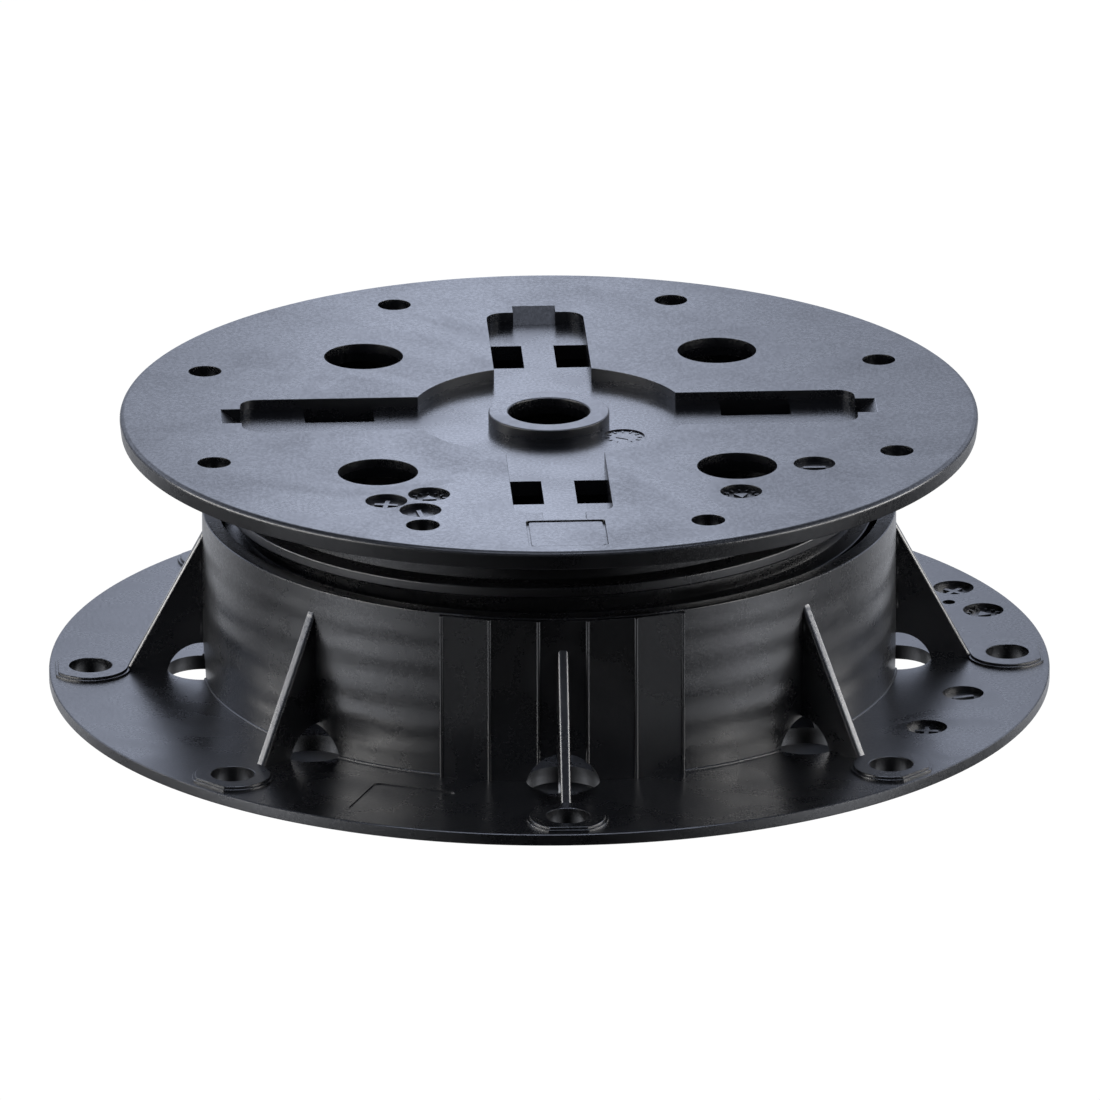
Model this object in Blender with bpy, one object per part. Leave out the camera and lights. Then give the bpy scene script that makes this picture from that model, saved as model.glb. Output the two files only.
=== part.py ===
"""A height-adjustable decking pedestal: a round base with a threaded barrel, and a head that screws into it.

Lengths are in metres and +Z is up. The origin is on the ground, on the screw's axis.
Angles are counted from +X, and the front of the pedestal looks along -Y.
"""

import bmesh
import bpy
from math import acos, asin, ceil, cos, floor, pi, radians, sin, sqrt, tau

# The whole pedestal
rest_height = 0.0562            # ground to the head's top face, with the screw part of the way out
head_turn = radians(0.55)       # where the screw stopped

# The screw thread that joins the two mouldings
thread_pitch = 0.0066
thread_depth = 0.0027
thread_crest_width = 0.0023
thread_flank_fall = 0.0009      # how far each flank falls from crest to root
thread_clearance = 0.00045      # outwards, between the head's ridge and the barrel's ridge
thread_side_clearance = 0.00015 # along the axis, between the same two ridges
thread_phase_drop = 0.01748     # the ridge's middle under the head's top face, at thread_phase_angle
thread_phase_angle = radians(-85.4)

# The head's disc
head_diameter = 0.1711
head_thickness = 0.0037
head_edge_radius = 0.0011
head_rim_taper = 0.0004         # how far the rim leans in towards its lower edge
skirt_wall = 0.0030
skirt_drop = 0.0380             # head's top face to the lower end of the threaded skirt
skirt_thread_land = 0.0020      # plain ends above and below the ridge

# The cross-shaped seat sunk in the head's top
seat_depth = 0.0028
seat_circle_radius = 0.0275
seat_arm_half_width = 0.00975
seat_arm_reach = 0.0613
seat_corner_radius = 0.0036
seat_floor = 0.0030
seat_pan_wall = 0.0026
nick_half_width = 0.00425
nick_length = 0.0040
lug_hole_end_gap = 0.0128       # from each square hole to the end of its arm
lug_hole_length = 0.0139
lug_hole_width = 0.0064
lug_hole_wall_gap = 0.0001      # from each square hole to the arm's side

# The ring in the middle of the seat
ring_radius = 0.01205
ring_bore_radius = 0.0081
ring_lip = 0.0035               # depth of the bore's narrow part
ring_counterbore_wall = 0.0018

# The head's round holes
large_hole_radius = 0.0079
large_hole_skirt_gap = 0.0009   # between each large hole and the skirt under it
large_hole_count = 4
small_hole_radius = 0.0033
small_hole_inset = 0.0124       # from the disc's edge
small_hole_count = 8

# The base's plate
base_diameter = 0.200
plate_thickness = 0.0030
plate_edge_radius = 0.0003
rim_undercut_height = 0.0008    # the plate's edge stands clear of the ground by this
rim_undercut_width = 0.0040

# The barrel
flange_width = 0.0308           # of the plate, from the barrel's outer wall to the rim
barrel_height = 0.0369
barrel_wall = 0.0032            # outside the barrel's thread
barrel_thread_depth = 0.00085
barrel_thread_land = 0.0030     # plain end above the barrel's ridge
barrel_thread_drain_gap = 0.00215

# The flat facets on the barrel's front
facet_count = 5
facet_angle = radians(7.93)
facet_proud = 0.0009
facet_rib_width = 0.0008
facet_rib_proud = 0.0004
facet_top_drop = 0.0003

# The gussets, and the screw bosses at their feet
gusset_count = 8
gusset_top_drop = 0.0051        # from the barrel's top edge
gusset_root_thickness = 0.0028
gusset_foot_thickness = 0.0020
boss_inset = 0.0083             # from the plate's edge to each boss's centre
boss_radius = 0.00805
boss_height = 0.0009            # above the plate
boss_flat_share = 0.857         # how much of its radius a boss keeps on its flat outer side
boss_hole_radius = 0.0043

# The drains at the foot of the barrel
drain_radius = 0.00745
drain_offset = 0.0007           # from the barrel's outer wall to each drain's centre
drain_dome_centre = 0.0014      # height above the ground

# Sunk round marks, each with its inset from the edge of its disc or plate, and its angle
mark_radius = 0.0041
mark_depth = 0.0005
head_marks = ((0.02265, radians(-122.5)), (0.02985, radians(-117.3)), (0.02065, radians(-115.2)),
              (0.02395, radians(-34.4)), (0.02365, radians(-55.1)))
base_marks = ((0.0070, radians(26.4)), (0.0073, radians(17.3)), (0.0156, radians(-14.9)),
              (0.0160, radians(-29.4)))
pin_mark_radius = 0.0013
pin_mark_depth = 0.0012
pin_mark_place = (0.0119, radians(21.7))
panel_width = 0.0155            # the plain sunk panel near the head's front edge
panel_length = 0.0150
panel_depth = 0.0004
panel_inset = 0.01185           # from the disc's edge to the panel's middle

# How finely round shapes are divided
round_steps = 96
thread_steps = 48
thread_fade_steps = 3           # each end of a thread ridge rises over this many divisions
seam_share = 0.15               # turns the threaded tubes' divisions away from those of the plates
boss_steps = 20
hole_steps = 12
arc_steps = 4
root = 0.0005                   # how deep a joined shape reaches into its neighbour
hair = 0.0001                   # keeps a joined face out of its neighbour's plane

base_radius = base_diameter / 2
barrel_outer_radius = base_radius - flange_width
barrel_middle_radius = barrel_outer_radius - barrel_wall / 2
barrel_inner_radius = barrel_outer_radius - barrel_wall
barrel_crest_radius = barrel_inner_radius - barrel_thread_depth
thread_crest_radius = barrel_crest_radius - thread_clearance
thread_root_radius = thread_crest_radius - thread_depth
skirt_inner_radius = thread_root_radius - skirt_wall
facet_radius = barrel_outer_radius + facet_proud
boss_circle = base_radius - boss_inset
boss_top = plate_thickness + boss_height
gusset_top = barrel_height - gusset_top_drop
gusset_reach = boss_circle - boss_radius + root
drain_circle = barrel_outer_radius + drain_offset
drain_top = drain_dome_centre + drain_radius
head_radius = head_diameter / 2
pan_drop = seat_depth + seat_floor
large_hole_circle = skirt_inner_radius - large_hole_skirt_gap - large_hole_radius
small_hole_circle = head_radius - small_hole_inset


def add_object(name, mesh):
    """Turns a bmesh into an object with its faces pointing outwards."""
    bmesh.ops.recalc_face_normals(mesh, faces=mesh.faces)
    data = bpy.data.meshes.new(name)
    mesh.to_mesh(data)
    mesh.free()
    item = bpy.data.objects.new(name, data)
    bpy.context.scene.collection.objects.link(item)
    return item


def plastic(name, colour, roughness):
    """A black polypropylene."""
    material = bpy.data.materials.new(name)
    material.use_nodes = True
    shader = material.node_tree.nodes["Principled BSDF"]
    shader.inputs["Base Color"].default_value = (*colour, 1.0)
    shader.inputs["Roughness"].default_value = roughness
    shader.inputs["Metallic"].default_value = 0.0
    return material


def polar(radius, angle):
    return radius * cos(angle), radius * sin(angle)


def arc(centre, radius, start, end, steps):
    """Points along an arc, both ends included."""
    return [
        (centre[0] + radius * cos(start + (end - start) * i / steps),
         centre[1] + radius * sin(start + (end - start) * i / steps))
        for i in range(steps + 1)
    ]


def circle(centre, radius, steps):
    return arc(centre, radius, 0.0, tau, steps)[:-1]


def turned(points, turn):
    """Points along and across an arm, turned with the arm about the axis."""
    return [(u * cos(turn) - v * sin(turn), u * sin(turn) + v * cos(turn)) for u, v in points]


def add_prism(mesh, outline, low, high):
    """A closed upright prism on an outline of (x, y) points."""
    lower = [mesh.verts.new((x, y, low)) for x, y in outline]
    upper = [mesh.verts.new((x, y, high)) for x, y in outline]
    mesh.faces.new(lower[::-1])
    mesh.faces.new(upper)
    for i in range(len(outline)):
        j = (i + 1) % len(outline)
        mesh.faces.new((lower[i], lower[j], upper[j], upper[i]))


def add_turned(mesh, profile, steps, centre=(0.0, 0.0)):
    """A body turned about an upright axis. Its profile is closed, or ends on the axis in a pole or a flat cap."""
    rings = []
    for radius, z in profile:
        rings.append([
            mesh.verts.new((centre[0] + radius * cos(angle), centre[1] + radius * sin(angle), z))
            for angle in [tau * (i + 0.5) / steps for i in range(steps)]
        ] if radius > 0 else [(radius, z)])
    for end, beside in ((0, 1), (-1, -2)):
        if profile[end][0] > 0:
            continue
        if profile[end][1] == profile[beside][1]:
            mesh.faces.new(rings[beside])
            rings[end] = None
        else:
            rings[end] = [mesh.verts.new((*centre, profile[end][1]))]
    rings = [ring for ring in rings if ring]
    closed = profile[0][0] > 0
    for first, second in zip(rings, rings[1:] + rings[:1] if closed else rings[1:]):
        for i in range(steps):
            j = (i + 1) % steps
            corners = [first[i % len(first)], first[j % len(first)], second[j % len(second)], second[i % len(second)]]
            mesh.faces.new(list(dict.fromkeys(corners)))


def add_threaded_tube(mesh, plain, low, high, thread):
    """A closed tube with one plain wall and one wall that carries a helical ridge.

    plain is the plain wall's (radius, steps), with once or twice as many steps as the thread.
    thread is (root radius, crest radius, half width at root, at crest, first angle, last angle, height for an angle).
    """
    plain_radius, plain_steps = plain
    root_radius, crest_radius, half_root, half_crest, first_angle, last_angle, height_at = thread
    step = tau / thread_steps
    first, last = ceil(first_angle / step), floor(last_angle / step)
    ridge = {}
    for i in range(first, last + 1):
        share = min(1.0, (i - first) / thread_fade_steps, (last - i) / thread_fade_steps)
        crest = root_radius + (crest_radius - root_radius) * share
        middle = height_at((i + seam_share) * step)
        ridge[i] = [
            mesh.verts.new((*polar(radius, (i + seam_share) * step), middle + offset))
            for radius, offset in ((root_radius, -half_root), (crest, -half_crest), (crest, half_crest), (root_radius, half_root))
        ]
    bottom = [mesh.verts.new((*polar(root_radius, (c + seam_share) * step), low)) for c in range(thread_steps)]
    top = [mesh.verts.new((*polar(root_radius, (c + seam_share) * step), high)) for c in range(thread_steps)]

    columns = []
    for c in range(thread_steps):
        points = [vert for i in sorted(ridge) if i % thread_steps == c for vert in ridge[i]]
        columns.append([bottom[c], *points, top[c]])
    for c in range(thread_steps):
        n = (c + 1) % thread_steps
        left, right = columns[c], columns[n]
        rungs = [(bottom[c], bottom[n])]
        rungs += [pair for i in sorted(ridge) if i % thread_steps == c and i + 1 in ridge
                  for pair in zip(ridge[i], ridge[i + 1])]
        rungs += [(top[c], top[n])]
        for (a, b), (d, e) in zip(rungs, rungs[1:]):
            up = left[left.index(a):left.index(d) + 1]
            down = right[right.index(b):right.index(e) + 1]
            mesh.faces.new(up + down[::-1])

    ratio = plain_steps // thread_steps
    plain_rings = []
    for z, ring in ((low, bottom), (high, top)):
        wall = [mesh.verts.new((*polar(plain_radius, (i / ratio + seam_share) * step), z)) for i in range(plain_steps)]
        for c in range(thread_steps):
            n = (c + 1) % thread_steps
            along = [wall[(c * ratio + i) % plain_steps] for i in range(ratio + 1)]
            mesh.faces.new([ring[c], *along, ring[n]])
        plain_rings.append(wall)
    for i in range(plain_steps):
        j = (i + 1) % plain_steps
        mesh.faces.new((plain_rings[0][i], plain_rings[0][j], plain_rings[1][j], plain_rings[1][i]))


def add_wedge(mesh, side, half_widths, turn):
    """A closed body between two copies of a side view of (u, z) points, each point with its own half width."""
    walls = []
    for sign in (-1, 1):
        places = turned([(u, sign * half) for (u, z), half in zip(side, half_widths)], turn)
        walls.append([mesh.verts.new((x, y, z)) for (x, y), (u, z) in zip(places, side)])
    mesh.faces.new(walls[0])
    mesh.faces.new(walls[1][::-1])
    for i in range(len(side)):
        j = (i + 1) % len(side)
        mesh.faces.new((walls[0][i], walls[1][i], walls[1][j], walls[0][j]))


def tool(name, carrier):
    """Starts the mesh of a shape that is joined to, or cut from, its carrier."""
    return name, carrier, bmesh.new()


def apply_tool(started, operation):
    """Ends a shape that tool started, and joins it to its carrier or cuts it out."""
    name, carrier, mesh = started
    item = add_object(name, mesh)
    item.parent = carrier
    item.hide_render = True
    item.display_type = "WIRE"
    modifier = carrier.modifiers.new(name, "BOOLEAN")
    modifier.operation = operation
    modifier.solver = "EXACT"
    modifier.object = item


def thread_height(angle):
    """The middle of the head's ridge, measured from the head's top face, for an angle in the head's own frame."""
    return -thread_phase_drop + thread_pitch * (angle + head_turn - thread_phase_angle) / tau


def angle_at(height):
    """The angle at which the middle of the head's ridge is at a height."""
    return (height + thread_phase_drop) * tau / thread_pitch + thread_phase_angle - head_turn


def seat_outline(grow):
    """The cross with its round middle, grown outwards by a wall."""
    half = seat_arm_half_width + grow
    reach = seat_arm_reach + grow
    corner = seat_corner_radius + grow
    middle = seat_circle_radius + grow
    joint = asin(half / middle)
    points = []
    for k in range(4):
        turn = k * pi / 2
        local = [(sqrt(middle ** 2 - half ** 2), -half)]
        local += arc((reach - corner, corner - half), corner, -pi / 2, 0.0, arc_steps)
        local += arc((reach - corner, half - corner), corner, 0.0, pi / 2, arc_steps)
        local += [(sqrt(middle ** 2 - half ** 2), half)]
        points += turned(local, turn)
        points += arc((0.0, 0.0), middle, turn + joint, turn + pi / 2 - joint, arc_steps * 2)[1:-1]
    return points


def build_head(material):
    """The head: a disc with a sunk cross, a threaded skirt and the holes. Its own zero is its top face."""
    mesh = bmesh.new()
    edge = arc((head_radius - head_edge_radius, -head_edge_radius), head_edge_radius, pi / 2, 0.0, arc_steps // 2)
    foot = (head_radius - head_rim_taper, -head_thickness)
    add_turned(mesh, [(0.0, 0.0), *edge, foot, (0.0, -head_thickness)], round_steps)
    head = add_object("pedestal_head", mesh)
    head.data.materials.append(material)
    head.location = (0.0, 0.0, rest_height)
    head.rotation_euler = (0.0, 0.0, head_turn)

    skirt = tool("head_skirt", head)
    top = root - head_thickness
    half_crest = thread_crest_width / 2
    half_root = half_crest + thread_flank_fall
    first = angle_at(half_root + skirt_thread_land - skirt_drop)
    last = angle_at(-head_thickness - half_root - skirt_thread_land)
    add_threaded_tube(skirt[2], (skirt_inner_radius, thread_steps), -skirt_drop, top,
                      (thread_root_radius, thread_crest_radius, half_root, half_crest, first, last, thread_height))
    apply_tool(skirt, "UNION")

    pan = tool("head_pan", head)
    add_prism(pan[2], seat_outline(seat_pan_wall), -pan_drop, top)
    apply_tool(pan, "UNION")

    seat = tool("head_seat", head)
    add_prism(seat[2], seat_outline(0.0), -seat_depth, head_thickness)
    apply_tool(seat, "DIFFERENCE")

    nicks = tool("head_nicks", head)
    tip = seat_arm_reach + nick_length
    inner = seat_arm_reach - seat_corner_radius
    side = [(inner, -seat_depth), (tip - seat_depth, -seat_depth), (tip + root, root), (inner, root)]
    for k in range(4):
        add_wedge(nicks[2], side, [nick_half_width] * len(side), k * pi / 2)
    apply_tool(nicks, "DIFFERENCE")

    ring = tool("head_ring", head)
    add_prism(ring[2], circle((0.0, 0.0), ring_radius, boss_steps * 2), -seat_depth - seat_floor / 2, 0.0)
    apply_tool(ring, "UNION")

    holes = tool("head_holes", head)
    below = -pan_drop - root
    lug_far = seat_arm_reach - lug_hole_end_gap
    lug_near = lug_far - lug_hole_length
    lug_outer = seat_arm_half_width - lug_hole_wall_gap
    lug_inner = lug_outer - lug_hole_width
    for k in range(4):
        for sign in (-1, 1):
            corners = [(lug_near, sign * lug_inner), (lug_near, sign * lug_outer),
                       (lug_far, sign * lug_outer), (lug_far, sign * lug_inner)]
            add_prism(holes[2], turned(corners, k * pi / 2), below, root - seat_depth)
    for k in range(large_hole_count):
        centre = polar(large_hole_circle, tau * (k + 0.5) / large_hole_count)
        add_prism(holes[2], circle(centre, large_hole_radius, boss_steps), below, root)
    for k in range(small_hole_count):
        centre = polar(small_hole_circle, tau * (k + 0.5) / small_hole_count)
        add_prism(holes[2], circle(centre, small_hole_radius, hole_steps), below, root)
    counterbore = ring_radius - ring_counterbore_wall
    add_turned(holes[2], [(0.0, root), (ring_bore_radius, root), (ring_bore_radius, -ring_lip),
                          (counterbore, -ring_lip), (counterbore, below), (0.0, below)], boss_steps * 2)
    apply_tool(holes, "DIFFERENCE")

    marks = tool("head_marks", head)
    for inset, angle in head_marks:
        add_prism(marks[2], circle(polar(head_radius - inset, angle), mark_radius, hole_steps), -mark_depth, root)
    half_x, half_y = panel_width / 2, panel_length / 2
    y = panel_inset - head_radius
    add_prism(marks[2], [(-half_x, y - half_y), (half_x, y - half_y), (half_x, y + half_y), (-half_x, y + half_y)],
              -panel_depth, root)
    apply_tool(marks, "DIFFERENCE")
    return head


def build_base(material):
    """The base: a plate with a threaded barrel, gussets, screw bosses and drains."""
    mesh = bmesh.new()
    undercut = base_radius - rim_undercut_width
    edge = [(base_radius - plate_edge_radius, plate_thickness), (base_radius, plate_thickness - plate_edge_radius)]
    add_turned(mesh, [(0.0, plate_thickness), *edge, (base_radius, rim_undercut_height),
                      (undercut, rim_undercut_height), (undercut, 0.0), (0.0, 0.0)], round_steps)
    base = add_object("pedestal_base", mesh)
    base.data.materials.append(material)

    def groove_height(angle):
        """Half a pitch under the head's ridge, as a nut's thread lies between the screw's turns."""
        return rest_height - thread_phase_drop + thread_pitch * ((angle - thread_phase_angle) / tau - 0.5)

    def groove_angle(height):
        return ((height - rest_height + thread_phase_drop) / thread_pitch + 0.5) * tau + thread_phase_angle

    barrel = tool("base_barrel", base)
    foot = plate_thickness - root
    half_crest = (thread_pitch - thread_crest_width) / 2 - thread_side_clearance
    half_root = half_crest + thread_flank_fall
    first = groove_angle(drain_top + barrel_thread_drain_gap + half_root)
    last = groove_angle(barrel_height - barrel_thread_land - half_root)
    add_threaded_tube(barrel[2], (barrel_outer_radius, thread_steps * 2), foot, barrel_height,
                      (barrel_inner_radius, barrel_crest_radius, half_root, half_crest, first, last, groove_height))
    apply_tool(barrel, "UNION")

    facets = tool("base_facets", base)
    first = -pi / 2 - facet_count * facet_angle / 2
    last = first + facet_count * facet_angle
    rib_half = facet_rib_width / 2 / facet_radius
    outline = []
    for k in range(facet_count + 1):
        angle = first + k * facet_angle
        outline += [polar(facet_radius, angle - rib_half), polar(facet_radius + facet_rib_proud, angle - rib_half),
                    polar(facet_radius + facet_rib_proud, angle + rib_half), polar(facet_radius, angle + rib_half)]
    outline += arc((0.0, 0.0), barrel_middle_radius, last, first, arc_steps * 3)
    add_prism(facets[2], outline, foot, barrel_height - facet_top_drop)
    apply_tool(facets, "UNION")

    gussets = tool("base_gussets", base)
    slope = (gusset_top - boss_top) / (gusset_reach - barrel_outer_radius)
    side = [(barrel_middle_radius, foot), (gusset_reach, foot), (gusset_reach, boss_top - hair),
            (barrel_middle_radius, gusset_top + slope * (barrel_outer_radius - barrel_middle_radius))]
    halves = [(gusset_root_thickness if u < barrel_outer_radius else gusset_foot_thickness) / 2 for u, z in side]
    for k in range(gusset_count):
        add_wedge(gussets[2], side, halves, k * tau / gusset_count)
    apply_tool(gussets, "UNION")

    bosses = tool("base_bosses", base)
    cut_angle = acos(boss_flat_share)
    for k in range(gusset_count):
        turn = k * tau / gusset_count
        outline = arc(polar(boss_circle, turn), boss_radius, turn + cut_angle, turn + tau - cut_angle, boss_steps)
        add_prism(bosses[2], outline, foot, boss_top)
    apply_tool(bosses, "UNION")

    openings = tool("base_openings", base)
    for k in range(gusset_count):
        turn = k * tau / gusset_count
        add_prism(openings[2], circle(polar(boss_circle, turn), boss_hole_radius, hole_steps), -root, boss_top + root)
        dome = [(0.0, drain_top), *arc((0.0, drain_dome_centre), drain_radius, pi / 2, 0.0, arc_steps)[1:]]
        add_turned(openings[2], [*dome, (drain_radius, -root), (0.0, -root)], boss_steps, polar(drain_circle, turn))
    apply_tool(openings, "DIFFERENCE")

    marks = tool("base_marks", base)
    pins = [(*place, mark_radius, mark_depth) for place in base_marks]
    pins.append((*pin_mark_place, pin_mark_radius, pin_mark_depth))
    for inset, angle, radius, depth in pins:
        add_prism(marks[2], circle(polar(base_radius - inset, angle), radius, hole_steps),
                  plate_thickness - depth, plate_thickness + root)
    apply_tool(marks, "DIFFERENCE")
    return base


def main():
    for item in list(bpy.data.objects):
        bpy.data.objects.remove(item)
    for item in (build_base(plastic("base_plastic", (0.022, 0.022, 0.025), 0.38)),
                 build_head(plastic("head_plastic", (0.024, 0.024, 0.027), 0.34))):
        item.data.shade_smooth()
        item.data.set_sharp_from_angle(angle=radians(30))


main()
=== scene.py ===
# %% [markdown]
# # A decking pedestal, dressed for its photograph
#
# A decking pedestal is a low screw jack that carries paving slabs or joists on a flat roof. It has two
# mouldings of black polypropylene: a base with a threaded barrel, and a head whose threaded skirt screws
# into it.
#
# The engineering model is loaded as a fixed frame. Both mouldings are then modelled once more with finer
# rounds, softened edges and small moulding marks, and each stands in for its engineering solid.

# %% Load the engineering model as a frame
from math import ceil, cos, pi, radians, sin, sqrt, tau

import bmesh
import bpy
from mathutils import Matrix, Vector


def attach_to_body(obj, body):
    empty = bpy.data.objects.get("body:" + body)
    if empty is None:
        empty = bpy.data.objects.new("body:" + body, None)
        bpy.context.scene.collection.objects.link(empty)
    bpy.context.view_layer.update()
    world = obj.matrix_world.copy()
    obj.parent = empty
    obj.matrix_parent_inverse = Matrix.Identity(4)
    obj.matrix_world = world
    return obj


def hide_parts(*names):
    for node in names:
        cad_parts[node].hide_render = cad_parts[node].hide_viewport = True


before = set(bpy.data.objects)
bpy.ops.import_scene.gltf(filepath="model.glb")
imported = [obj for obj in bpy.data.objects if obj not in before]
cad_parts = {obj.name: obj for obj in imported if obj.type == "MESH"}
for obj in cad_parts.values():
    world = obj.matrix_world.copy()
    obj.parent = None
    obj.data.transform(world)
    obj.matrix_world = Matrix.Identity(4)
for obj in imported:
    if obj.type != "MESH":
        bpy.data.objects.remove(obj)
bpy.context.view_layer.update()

# %% [markdown]
# ## Tools for working as by hand
#
# Blender's operators act on what is selected. So the first tools select one object, or open it in edit mode
# with only some of its faces or edges chosen by their place. With them, each step reads like the work of a
# hand: add a primitive, choose a face, inset it, extrude it, bevel an edge.

# %% Selecting
mm = 0.001        # a millimetre, in metres
tiny = 0.00001    # heights closer than a hundredth of a millimetre are the same


def only(item):
    """Selects one object and nothing else."""
    if bpy.context.mode != "OBJECT":
        bpy.ops.object.mode_set(mode="OBJECT")
    bpy.ops.object.select_all(action="DESELECT")
    item.select_set(True)
    bpy.context.view_layer.objects.active = item
    return item


def edit(item, kind, rule):
    """Opens an object in edit mode, with the verts, edges or faces selected that a rule picks."""
    only(item)
    bpy.ops.object.mode_set(mode="EDIT")
    bpy.ops.mesh.select_mode(type={"verts": "VERT", "edges": "EDGE", "faces": "FACE"}[kind])
    bpy.ops.mesh.select_all(action="DESELECT")
    mesh = bmesh.from_edit_mesh(item.data)
    for element in getattr(mesh, kind):
        if rule(element):
            element.select_set(True)
    bmesh.update_edit_mesh(item.data)


def close(item):
    """Leaves edit mode."""
    bpy.ops.object.mode_set(mode="OBJECT")
    return item


# %% Choosing by place
def on_level(z):
    """A rule for faces or edges that lie at one height."""
    return lambda element: all(abs(vert.co.z - z) < tiny for vert in element.verts)


def upright(edge):
    """True for an edge that doesn't lie at one height."""
    return abs(edge.verts[0].co.z - edge.verts[1].co.z) > tiny


def ring_at(z, nearest, furthest):
    """A rule for edges at one height, between two distances from the axis."""
    return lambda edge: on_level(z)(edge) and nearest < radius_of(edge.verts[0].co) < furthest


def sharp(edge):
    """True for an edge between two faces that meet at more than 25 degrees."""
    return len(edge.link_faces) == 2 and edge.calc_face_angle(0.0) > radians(25)


def radius_of(point):
    """A point's distance from the upright axis."""
    return sqrt(point.x ** 2 + point.y ** 2)


def polar(radius, angle):
    """A point at height zero, from its distance and its angle about the axis."""
    return Vector((radius * cos(angle), radius * sin(angle), 0.0))


# %% Primitives at their size and place
fine = 256      # sides of the large rounds
medium = 96     # sides of the bosses and large holes
small = 48      # sides of the small holes and marks


def settle(name):
    """Names the primitive that was just added, and puts its place and size in its mesh."""
    item = bpy.context.object
    item.name = name
    item.data.name = name
    only(item)
    bpy.ops.object.transform_apply(location=True, rotation=True, scale=True)
    return item


def cylinder(name, radius, low, high, sides=fine, centre=(0.0, 0.0)):
    """An upright cylinder between two heights."""
    bpy.ops.mesh.primitive_cylinder_add(vertices=sides, radius=radius, depth=high - low,
                                        location=(centre[0], centre[1], (low + high) / 2))
    return settle(name)


def block(name, low, high):
    """A block between its two far corners."""
    middle = [(a + b) / 2 for a, b in zip(low, high)]
    bpy.ops.mesh.primitive_cube_add(size=1.0, location=middle, scale=[b - a for a, b in zip(low, high)])
    return settle(name)


# %% Copies, turns and joins
def turned(item, angle):
    """A copy of an object, turned about the upright axis, with its own mesh."""
    copy = item.copy()
    copy.data = item.data.copy()
    copy.data.transform(Matrix.Rotation(angle, 4, "Z"))
    bpy.context.scene.collection.objects.link(copy)
    return copy


def joined(items):
    """Makes one object of several that don't touch."""
    first = only(items[0])
    for item in items[1:]:
        item.select_set(True)
    bpy.ops.object.join()
    return first


def around(item, angles):
    """Replaces an object with copies at several angles about the axis."""
    copies = [turned(item, angle) for angle in angles]
    bpy.data.objects.remove(item)
    return joined(copies)


quarters = [k * pi / 2 for k in range(4)]
eighths = [k * pi / 4 for k in range(8)]


# %% Cutting, welding and rounding
def combine(item, other, operation):
    """Joins, cuts or keeps the common part of two solids, and leaves one mesh."""
    only(item)
    bpy.ops.object.modifier_add(type="BOOLEAN")
    modifier = item.modifiers[-1]
    modifier.operation = operation
    modifier.solver = "EXACT"
    modifier.object = other
    bpy.ops.object.modifier_apply(modifier=modifier.name)
    bpy.data.objects.remove(other)
    return item


def push(distance):
    """Extrudes the selected faces upwards, or downwards where the distance is below zero."""
    bpy.ops.mesh.extrude_region_move(TRANSFORM_OT_translate={"value": (0.0, 0.0, distance)})


def report(item, state):
    """Prints how many faces an object has by now."""
    print(item.name, state + ":", len(item.data.polygons), "faces")


def soften(item, width, segments, rule):
    """Rounds the sharp edges that a rule picks."""
    edit(item, "edges", lambda edge: sharp(edge) and rule(edge))
    bpy.ops.mesh.bevel(offset=width, segments=segments, profile=0.5, clamp_overlap=True)
    return close(item)


# %% [markdown]
# ## The screw thread
#
# A pedestal is set to its height by turning the head, so the one thread fixes how both mouldings fit. The
# sizes here and below repeat the engineering model's, because the fine surfaces lie where its solids are.
# Only the ridges' height, the crests' width and the drains' place were measured once more on the photograph.
# The head is modelled with its top face at zero, and is turned and lifted into place when it is whole.

# %% Sizes of the whole and of the thread
rest_height = 56.2 * mm
head_turn = radians(0.55)
thread_pitch = 6.6 * mm
thread_crest = 64.7 * mm
thread_root = 62.0 * mm
thread_crest_half = 1.0 * mm
thread_flank_fall = 0.9 * mm
thread_phase_drop = 15.55 * mm
thread_phase_angle = radians(-85.4)
print("thread, mm:", round(2000 * thread_crest, 1), "across,", round(1000 * thread_pitch, 1), "a turn")

# %% [markdown]
# ## The thread's ridge
#
# On the real part the thread is a ridge that climbs round a wall. It could be cut out of a thicker wall, or
# swept together with it, but both need trimming at the ends. So a small four-sided section is drawn beside
# the axis, its two crest corners are rounded, and a Screw modifier sweeps it round and up. A Boolean union
# then welds the ridge to its wall.

# %% The section of a ridge
def ridge_section(name, root, crest, half_root, half_crest, middle, rounding):
    """A ridge's outline beside the axis, without a face. Its foot lies half a millimetre inside the wall."""
    out = 1.0 if crest > root else -1.0
    foot_depth = 0.5 * mm
    buried = root - out * foot_depth
    spread = (half_root - half_crest) * foot_depth / abs(crest - root)
    bpy.ops.mesh.primitive_circle_add(vertices=4, radius=1.0 * mm, fill_type="NGON")
    section = settle(name)
    corners = [(buried, -half_root - spread), (crest, -half_crest),
               (crest, half_crest), (buried, half_root + spread)]
    for vert, (radius, height) in zip(section.data.vertices, corners):
        vert.co = (radius, 0.0, middle + height)
    edit(section, "verts", lambda vert: abs(vert.co.x - crest) < tiny)
    bpy.ops.mesh.bevel(offset=rounding, segments=3, affect="VERTICES")
    bpy.ops.mesh.select_all(action="SELECT")
    bpy.ops.mesh.delete(type="ONLY_FACE")
    return close(section)


# %% Ends that run out softly
sweep_steps = 192    # steps in a full turn


def sink_ends(swept, root, crest, corners, steps):
    """Draws both ends of a swept ridge into its wall, over a twentieth of a turn."""
    out = 1.0 if crest > root else -1.0
    lowest = root - out * 0.25 * mm
    fade = sweep_steps * 0.05
    for vert in swept.data.vertices:
        at_step = vert.index // corners if vert.index < corners * (steps + 1) else 0
        share = min(1.0, at_step / fade, (steps - at_step) / fade)
        here = radius_of(vert.co)
        if out * (here - lowest) > 0:
            scale = (lowest + (here - lowest) * share) / here
            vert.co.x *= scale
            vert.co.y *= scale


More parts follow.
